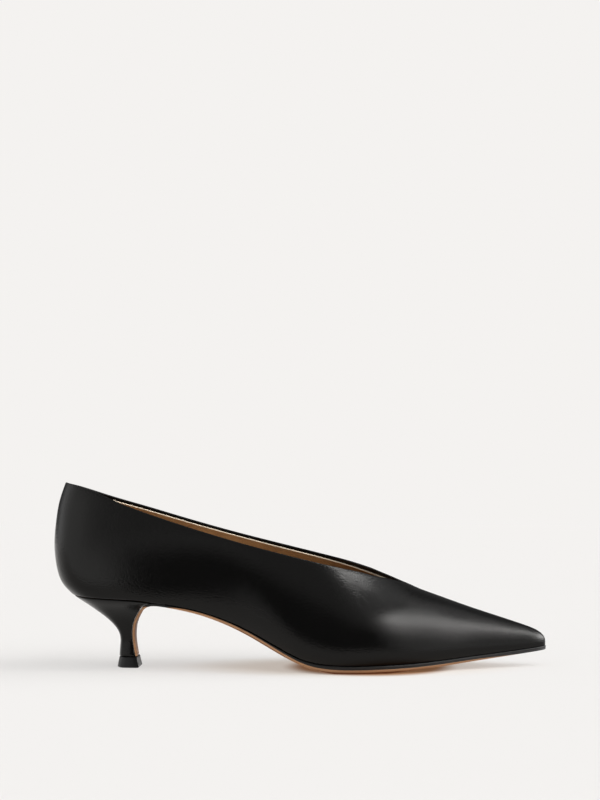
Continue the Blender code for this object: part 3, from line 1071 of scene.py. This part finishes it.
def tan_leather(name, colour, dark):
    """Vegetable-tanned lining leather: mottled, with fine pores."""
    material, tree, shader, place = new_material(name)
    mottle = remap(tree, noise(tree, place, size=0.009, detail=5.0, roughness=0.6), *NOISE_RANGE)
    pores = pebbles(tree, place, size=0.0007, smoothness=0.3)
    height = weighted(tree, noise(tree, place, size=0.0004), 0.4, pores, -0.6)
    finish = {
        "Base Color": blend_colours(tree, mottle, tone(dark), tone(colour)),
        "Roughness": varied(tree, noise(tree, place, size=0.003), 0.55, 0.06),
        "Specular IOR Level": 0.3,
        "Normal": relief(tree, height, depth=0.00004),
    }
    feed(tree, shader, finish)
    return material


def cut_edge_leather(colour):
    """The raw edge of the lining, pale and fibrous."""
    material, tree, shader, place = new_material("lining cut edge")
    fibres = noise(tree, place, size=0.0006, detail=4.0, roughness=0.7)
    finish = {
        "Base Color": blend_colours(tree, fibres, tone(colour, 0.8), tone(colour)),
        "Roughness": 0.75,
        "Normal": relief(tree, fibres, depth=0.00006),
    }
    feed(tree, shader, finish)
    return material


def sole_leather(colours):
    """Bend leather: tan with streaks along its edge, painted shade on the edge at the forepart and on the
    lower rim, and black where its edge is inked."""
    material, tree, shader, place = new_material("sole leather")
    ink = add_node(tree, "ShaderNodeAttribute", attribute_name="ink").outputs["Fac"]
    inked = remap(tree, ink, *INK_BORDER)
    facing = add_node(tree, "ShaderNodeTexCoord").outputs["Normal"]
    tilt = calculate(tree, "ABSOLUTE", axis(tree, facing, "Z"))
    edge = remap(tree, tilt, *EDGE_TILTS, 1.0, 0.0)
    streaks = noise(tree, stretched(tree, place, STREAK_STRETCH), size=0.0011, detail=4.0, roughness=0.6)
    streaks = calculate(tree, "MULTIPLY", streaks, edge)
    streaked = remap(tree, streaks, *STREAK_RANGE, 0.0, STREAK_STRENGTH)
    # Painted shade: the sole's edge darkens towards the forepart, where it faces down
    painted_forepart_shade = remap(tree, axis(tree, place, "X"), *FOREPART_SHADE_ALONG, 0.0, FOREPART_SHADE_STRENGTH)
    # Painted shade on the edge's lower rim, where it turns under
    rim = remap(tree, ink, *RIM_SHADE_DEPTHS, 1.0, 0.0)
    shade = tone(colours.sole_dark, SOLE_SHADE)
    mottle = remap(tree, noise(tree, place, size=0.011, detail=5.0, roughness=0.6), *NOISE_RANGE)
    bare = blend_colours(tree, mottle, tone(colours.sole_dark), tone(colours.sole))
    for share, colour in (
        (streaked, shade),
        (calculate(tree, "MULTIPLY", painted_forepart_shade, edge), shade),
        (calculate(tree, "MULTIPLY", rim, edge), tone(tinted(colours.sole_dark, RIM_SHADE_TINT))),
        (inked, tone(colours.ink)),
    ):
        bare = blend_colours(tree, share, bare, colour)
    height = weighted(tree, streaks, 0.6, noise(tree, place, size=0.0005), 0.4)
    change = INK_ROUGHNESS - SOLE_ROUGHNESS
    roughness = calculate(tree, "MULTIPLY_ADD", inked, change, SOLE_ROUGHNESS)
    finish = {
        "Base Color": bare,
        "Roughness": roughness,
        "Specular IOR Level": 0.3,
        "Normal": relief(tree, height, depth=0.00005),
    }
    feed(tree, shader, finish)
    return material


def top_piece_rubber(colour):
    """Dense rubber: nearly smooth, with a moulded bloom."""
    material, tree, shader, place = new_material("top piece rubber")
    bloom = noise(tree, place, size=0.003, detail=4.0)
    finish = {
        "Base Color": blend_colours(tree, bloom, tone(colour, 0.8), tone(colour, 1.2)),
        "Roughness": varied(tree, bloom, 0.34, 0.06),
        "Specular IOR Level": 0.3,
        "Normal": relief(tree, noise(tree, place, size=0.0005), depth=0.00003),
    }
    feed(tree, shader, finish)
    return material


def lining_material(colours):
    """The lining's leather, which the sock shares, made the first time it is asked for."""
    name = "lining leather"
    return bpy.data.materials.get(name) or tan_leather(name, colours.lining, colours.lining_dark)


def sky_brightness():
    """The floor's mean light from the room, its panels and the key lamp, for a horizontal surface."""
    azimuth = np.arange(-179.5, 180)[:, None]
    elevation = np.arange(0.5, 90)[None, :]
    light = np.full((azimuth.size, elevation.size), ROOM_BRIGHTNESS)
    for panel in PANELS:
        aside = np.abs(azimuth - panel.azimuth)
        aside = np.minimum(aside, 360 - aside)
        above = np.abs(elevation - panel.elevation)
        share = 1.0
        for off, half in ((aside, panel.half_width), (above, panel.half_height)):
            share = share * (1 - ease((off - half + panel.soft) / (2 * panel.soft)))
        light = light + share * (panel.brightness - light)
    weight = np.sin(np.radians(elevation)) * np.cos(np.radians(elevation)) * np.ones_like(azimuth)
    key = KEY_STRENGTH * math.sin(math.radians(KEY_ELEVATION)) / math.pi
    return float((light * weight).sum() / weight.sum()) + key


def light_room(world):
    """World nodes: an even pale room with soft panels, darker towards the camera."""
    world.use_nodes = True
    tree = world.node_tree
    tree.nodes.clear()
    place = add_node(tree, "ShaderNodeTexCoord").outputs["Generated"]
    axes = add_node(tree, "ShaderNodeSeparateXYZ", {"Vector": place})
    towards = calculate(tree, "MULTIPLY", axes.outputs["Y"], -1.0)
    azimuth = calculate(tree, "ARCTAN2", axes.outputs["X"], towards)
    elevation = calculate(tree, "ARCSINE", axes.outputs["Z"])
    light = ROOM_BRIGHTNESS
    for panel in PANELS:
        aside = calculate(tree, "SUBTRACT", azimuth, math.radians(panel.azimuth))
        aside = calculate(tree, "ABSOLUTE", aside)
        aside = calculate(tree, "MINIMUM", aside, calculate(tree, "SUBTRACT", math.tau, aside))
        above = calculate(tree, "SUBTRACT", elevation, math.radians(panel.elevation))
        above = calculate(tree, "ABSOLUTE", above)
        borders = []
        for off, half in ((aside, panel.half_width), (above, panel.half_height)):
            low = math.radians(half - panel.soft)
            borders.append(remap(tree, off, low, math.radians(half + panel.soft), 1.0, 0.0))
        share = calculate(tree, "MULTIPLY", *borders)
        change = calculate(tree, "SUBTRACT", panel.brightness, light)
        light = calculate(tree, "MULTIPLY_ADD", share, change, light)
    lamp = add_node(tree, "ShaderNodeBackground", {"Color": (1, 1, 1, 1), "Strength": light})
    add_node(tree, "ShaderNodeOutputWorld", {"Surface": lamp.outputs["Background"]})


def stage_material(name):
    """A material with an empty tree."""
    material = bpy.data.materials.new(name)
    material.use_nodes = True
    material.node_tree.nodes.clear()
    return material, material.node_tree


def end_tree(tree, share, one, two):
    """Ends a material with two shaders, the second one seen by this share."""
    mixed = add_node(tree, "ShaderNodeMixShader", {0: share, 1: one.outputs[0], 2: two.outputs[0]})
    add_node(tree, "ShaderNodeOutputMaterial", {"Surface": mixed.outputs["Shader"]})


def inside_oval(tree, place, oval):
    """1 inside an oval on the floor and 0 outside its soft border."""
    aside = add_node(tree, "ShaderNodeVectorMath", {0: place, 1: oval.centre}, operation="SUBTRACT")
    scale = (1 / oval.half_length, 1 / oval.half_width, 1.0)
    shares = stretched(tree, aside.outputs["Vector"], scale)
    distance = add_node(tree, "ShaderNodeVectorMath", {0: shares}, operation="LENGTH").outputs["Value"]
    return remap(tree, distance, *oval.border, 1.0, 0.0)


def floor_material(colour):
    """A matt pale floor, lit a little from within, with the tan sole's warm bounce light painted on it and
    a painted brown contact shadow where it touches, that fades to the backdrop's even tone far off."""
    material, tree = stage_material("pale floor")
    place = add_node(tree, "ShaderNodeTexCoord").outputs["Object"]
    # Painted warm bounce light of the tan sole on the floor under the shoe
    under = inside_oval(tree, place, BOUNCE)
    # Painted brown contact shadow where the tread touches the floor
    painted_contact_shadow = inside_oval(tree, place, CONTACT)
    sky = sky_brightness()
    matt = tuple(channel / sky for channel in colour)
    shaders = []
    for kind, plain, bounce in (
        ("ShaderNodeBsdfDiffuse", matt, SOLE_BOUNCE),
        ("ShaderNodeEmission", colour, GLOW_BOUNCE),
    ):
        with_painted_bounce = blend_colours(tree, under, tone(plain), tone(tinted(plain, bounce)))
        shaded = blend_colours(tree, painted_contact_shadow, with_painted_bounce, tone(CONTACT_SHADOW_TINT))
        shaders.append(add_node(tree, kind, {"Color": shaded}))
    far = add_node(tree, "ShaderNodeVectorMath", {0: place}, operation="LENGTH").outputs["Value"]
    near_glow = calculate(tree, "MULTIPLY_ADD", under, UNDER_GLOW - FLOOR_GLOW, FLOOR_GLOW)
    end_tree(tree, remap(tree, far, *FLOOR_FADE, near_glow, 1.0), *shaders)
    return material


def even_material(name, colour):
    """One even tone that takes no light or shade."""
    material, tree = stage_material(name)
    glow = add_node(tree, "ShaderNodeEmission", {"Color": tone(colour)})
    add_node(tree, "ShaderNodeOutputMaterial", {"Surface": glow.outputs["Emission"]})
    return material


def card_material():
    """An even grey on the card's front that fades out to its border, and nothing on its back."""
    material, tree = stage_material("grey card")
    cover = add_node(tree, "ShaderNodeAttribute", attribute_name="cover").outputs["Fac"]
    rear = add_node(tree, "ShaderNodeNewGeometry").outputs["Backfacing"]
    share = calculate(tree, "MULTIPLY", cover, calculate(tree, "SUBTRACT", 1.0, rear))
    clear = add_node(tree, "ShaderNodeBsdfTransparent")
    glow = add_node(tree, "ShaderNodeEmission", {"Color": tone((CARD_TONE,) * 3)})
    end_tree(tree, share, clear, glow)
    return material


def build_floor(work):
    """A wide disc."""
    bmesh.ops.create_circle(work, cap_ends=True, segments=FLOOR_SIDES, radius=FLOOR_RADIUS)


def build_backdrop(work):
    """A sphere round the whole stage."""
    bmesh.ops.create_uvsphere(
        work, u_segments=BACKDROP_SIDES, v_segments=BACKDROP_SIDES // 2, radius=BACKDROP_RADIUS
    )


def build_table_top(work):
    """The part of the floor that the shoe's leather mirrors: it ends a little in front of the shoe."""
    work.faces.new([work.verts.new((x, y, TABLE_DROP)) for x, y in TABLE_EDGE])


def build_flag(work):
    """A black card in front of the shoe, as photographers set one to keep the leather dark."""
    (left, right), (low, high) = FLAG_ALONG, FLAG_UP
    corners = ((left, low), (right, low), (right, high), (left, high))
    work.faces.new([work.verts.new((x, FLAG_FRONT, z)) for x, z in corners])


def build_card(work):
    """A small card over the vamp that calms the highlight below the throat, with a fading border."""
    cover = work.verts.layers.float.new("cover")
    corners = np.array(CARD_CORNERS)
    outwards = np.sign(corners - corners.mean(axis=0))
    rings = []
    for ring, share in ((corners, 1.0), (corners + outwards * CARD_BORDER, 0.0)):
        rings.append([work.verts.new((CARD_ALONG, y, z)) for y, z in ring])
        for vert in rings[-1]:
            vert[cover] = share
    inner, outer = rings
    work.faces.new(inner[::-1])
    for one in range(len(corners)):
        two = (one + 1) % len(corners)
        work.faces.new((inner[one], inner[two], outer[two], outer[one]))


def hide_from(obj, *rays):
    """Keeps a piece of the stage out of these kinds of rays."""
    for ray in rays:
        setattr(obj, f"visible_{ray}", False)


def stage_piece(name, build, material, *hidden):
    """A piece of the stage that the build function makes, hidden from some kinds of rays."""
    work = bmesh.new()
    build(work)
    mesh = bpy.data.meshes.new(name)
    work.to_mesh(mesh)
    work.free()
    obj = finished(name, mesh, material)
    hide_from(obj, *hidden)


def hang_key_lamp(scene):
    """A broad lamp in front of the shoe that its gloss doesn't mirror."""
    lamp = bpy.data.lights.new("key_lamp", "SUN")
    lamp.energy = KEY_STRENGTH
    lamp.angle = math.radians(KEY_SPREAD)
    key = bpy.data.objects.new("key_lamp", lamp)
    key.rotation_euler = (math.radians(90 - KEY_ELEVATION), 0, math.radians(KEY_AZIMUTH))
    hide_from(key, "glossy")
    scene.collection.objects.link(key)


def place_camera(scene, stage):
    """A level camera at the photo's angle."""
    camera = bpy.data.cameras.new("camera")
    camera.sensor_fit = "VERTICAL"
    camera.sensor_width = CAMERA_FRAME
    camera.sensor_height = CAMERA_FRAME
    camera.lens = stage.camera_lens
    holder = bpy.data.objects.new("camera", camera)
    holder.location = (stage.camera_aside, -stage.camera_distance, stage.camera_height)
    holder.rotation_euler = (math.radians(90), 0, 0)
    scene.collection.objects.link(holder)
    scene.camera = holder


def make_stage(scene, stage):
    """The pale floor and backdrop, what the leather mirrors, the room's light and the camera."""
    scene.view_settings.view_transform = "Standard"
    scene.world = bpy.data.worlds.new("studio")
    light_room(scene.world)
    colour = tuple(stage.floor_colour)
    paper = floor_material(colour)
    black = even_material("black flag", (FLAG_TONE,) * 3)
    pale = even_material("pale backdrop", colour)
    unseen = "camera", "diffuse", "shadow"
    stage_piece("floor", build_floor, paper, "glossy")
    stage_piece("table_top", build_table_top, paper, *unseen)
    stage_piece("black_flag", build_flag, black, *unseen)
    stage_piece("grey_card", build_card, card_material(), *unseen)
    stage_piece("backdrop", build_backdrop, pale, "diffuse", "glossy", "transmission", "shadow")
    hang_key_lamp(scene)
    place_camera(scene, stage)


def length_property(name, description, default, low, high):
    """A size in metres that a user would change."""
    return bpy.props.FloatProperty(
        name=name, description=description, default=default, min=low, max=high, unit="LENGTH"
    )


def colour_property(name, description, default):
    """A colour that a user would change."""
    return bpy.props.FloatVectorProperty(
        name=name, description=description, default=default, size=3, min=0, max=1, subtype="COLOR"
    )


class PumpSizes(bpy.types.PropertyGroup):
    """Sizes of the layers and edges, which follow the last."""

    leather_thickness: length_property(
        "Leather Thickness", "Thickness of the upper's black leather", 0.0012, 0.0004, 0.003
    )
    fold_radius: length_property(
        "Fold Radius", "How far the folded topline rounds over", 0.0006, 0.0002, 0.0015
    )
    fold_depth: length_property(
        "Fold Depth", "How far the leather is folded in before the lining starts", 0.00195, 0.0005, 0.006
    )
    lining_thickness: length_property(
        "Lining Thickness", "Thickness of the tan lining", 0.0006, 0.0003, 0.0015
    )
    cut_edge_radius: length_property(
        "Cut Edge Radius", "Half the height of the lining's pale cut edge", 0.00034, 0.0001, 0.001
    )
    seam_depth: length_property(
        "Seam Depth", "Depth of the closed seam down the back of the counter", 0.00018, 0.0, 0.0006
    )
    sock_inset: length_property(
        "Sock Inset", "How far inside the feather line the sock ends", 0.0012, 0.0008, 0.004
    )
    grain_size: length_property(
        "Grain Size", "Width of one pebble of the black leather's grain", 0.00076, 0.0003, 0.004
    )
    grain_depth: length_property(
        "Grain Depth", "Height of the black leather's grain", 0.00009, 0.0, 0.0005
    )


class PumpColours(bpy.types.PropertyGroup):
    """Colours of the shoe's leathers and rubber."""

    leather: colour_property(
        "Leather", "Colour of the upper's and heel's leather", (0.0016, 0.00155, 0.0015)
    )
    lining: colour_property("Lining", "Colour of the lining and sock", (0.27, 0.14, 0.055))
    lining_dark: colour_property(
        "Lining Mottle", "Darker tone in the lining and sock", (0.22, 0.108, 0.041)
    )
    cut_edge: colour_property("Cut Edge", "Colour of the lining's raw edge", (0.74, 0.62, 0.47))
    sole: colour_property("Sole", "Colour of the sole's leather", (0.41, 0.215, 0.105))
    sole_dark: colour_property("Sole Mottle", "Darker tone in the sole's leather", (0.32, 0.16, 0.075))
    ink: colour_property("Edge Ink", "Colour of the dressing on the sole's edge", (0.012, 0.0115, 0.011))
    rubber: colour_property("Top Piece", "Colour of the rubber top piece", (0.0035, 0.0035, 0.0036))


class PumpStage(bpy.types.PropertyGroup):
    """The floor and the camera."""

    floor_colour: colour_property(
        "Floor", "Colour of the floor and the backdrop as seen", (0.905, 0.888, 0.871)
    )
    camera_aside: length_property(
        "Camera Aside", "How far the camera stands from the shoe's middle towards the toe",
        -0.00033, -0.5, 0.5,
    )
    camera_distance: length_property(
        "Camera Distance", "Distance of the camera from the shoe's middle", 1.2, 0.3, 5.0
    )
    camera_height: length_property(
        "Camera Height", "Height of the level camera above the floor", 0.1427, 0.0, 2.0
    )
    camera_lens: bpy.props.FloatProperty(
        name="Lens", description="Focal length on a 36 mm frame",
        default=100.9, min=20, max=300, unit="CAMERA",
    )


class PUMP_OT_stage(bpy.types.Operator):
    """Set the floor, the backdrop, the room's light and the camera"""

    bl_idname = "pump.stage"
    bl_label = "Stage"

    def execute(self, context):
        make_stage(context.scene, context.scene.pump_stage)
        return {"FINISHED"}


class PUMP_OT_upper(bpy.types.Operator):
    """Make the upper's leather wall with its folded topline and back seam"""

    bl_idname = "pump.upper"
    bl_label = "Upper Leather"

    def execute(self, context):
        sizes = context.scene.pump_sizes
        colour = context.scene.pump_colours.leather
        leather = black_leather("upper leather", colour, sizes.grain_size, sizes.grain_depth)
        upper = make_upper(sizes, leather)
        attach(upper, "root")
        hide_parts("upper")
        return {"FINISHED"}


class PUMP_OT_lining(bpy.types.Operator):
    """Make the lining and its pale cut edge"""

    bl_idname = "pump.lining"
    bl_label = "Lining"

    def execute(self, context):
        sizes = context.scene.pump_sizes
        colours = context.scene.pump_colours
        lining = make_lining(sizes, lining_material(colours))
        edge = make_lining_edge(sizes, cut_edge_leather(colours.cut_edge))
        for piece in (lining, edge):
            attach(piece, "root")
        return {"FINISHED"}


class PUMP_OT_sock(bpy.types.Operator):
    """Make the sock on its board"""

    bl_idname = "pump.sock"
    bl_label = "Sock"

    def execute(self, context):
        sock = make_sock(context.scene.pump_sizes, lining_material(context.scene.pump_colours))
        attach(sock, "root")
        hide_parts("insole")
        return {"FINISHED"}


class PUMP_OT_sole(bpy.types.Operator):
    """Make the leather sole with its inked edge, turned down over the heel's breast"""

    bl_idname = "pump.sole"
    bl_label = "Leather Sole"

    def execute(self, context):
        piece = make_outsole(sole_leather(context.scene.pump_colours))
        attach(piece, "root")
        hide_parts("outsole")
        return {"FINISHED"}


class PUMP_OT_heel(bpy.types.Operator):
    """Make the covered heel and its top piece"""

    bl_idname = "pump.heel"
    bl_label = "Heel"

    def execute(self, context):
        sizes = context.scene.pump_sizes
        colours = context.scene.pump_colours
        depth = sizes.grain_depth * HEEL_GRAIN
        heel = make_heel(black_leather("heel leather", colours.leather, sizes.grain_size, depth))
        foot = make_top_piece(top_piece_rubber(colours.rubber))
        for piece, node, slot in (
            (heel, "heel", "heel_leather"),
            (foot, "heel_top_piece", "top_piece_rubber"),
        ):
            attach(piece, "root")
            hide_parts(node)
        return {"FINISHED"}


OPERATORS = (PUMP_OT_stage, PUMP_OT_upper, PUMP_OT_lining, PUMP_OT_sock, PUMP_OT_sole, PUMP_OT_heel)


class PUMP_PT_panel(bpy.types.Panel):
    """Lists the pump's pieces"""

    bl_idname = "PUMP_PT_panel"
    bl_label = "Kitten Heel Pump"
    bl_space_type = "VIEW_3D"
    bl_region_type = "UI"
    bl_category = "Pump"

    def draw(self, context):
        for operator in OPERATORS:
            self.layout.operator(operator.bl_idname)


CLASSES = (PumpSizes, PumpColours, PumpStage, *OPERATORS, PUMP_PT_panel)


def register():
    for kind in CLASSES:
        bpy.utils.register_class(kind)
    bpy.types.Scene.pump_sizes = bpy.props.PointerProperty(type=PumpSizes)
    bpy.types.Scene.pump_colours = bpy.props.PointerProperty(type=PumpColours)
    bpy.types.Scene.pump_stage = bpy.props.PointerProperty(type=PumpStage)


def unregister():
    del bpy.types.Scene.pump_stage
    del bpy.types.Scene.pump_colours
    del bpy.types.Scene.pump_sizes
    for kind in reversed(CLASSES):
        bpy.utils.unregister_class(kind)


def main():
    register()
    bpy.ops.pump.stage()
    bpy.ops.pump.upper()
    bpy.ops.pump.lining()
    bpy.ops.pump.sock()
    bpy.ops.pump.sole()
    bpy.ops.pump.heel()


if __name__ == "__main__":
    main()
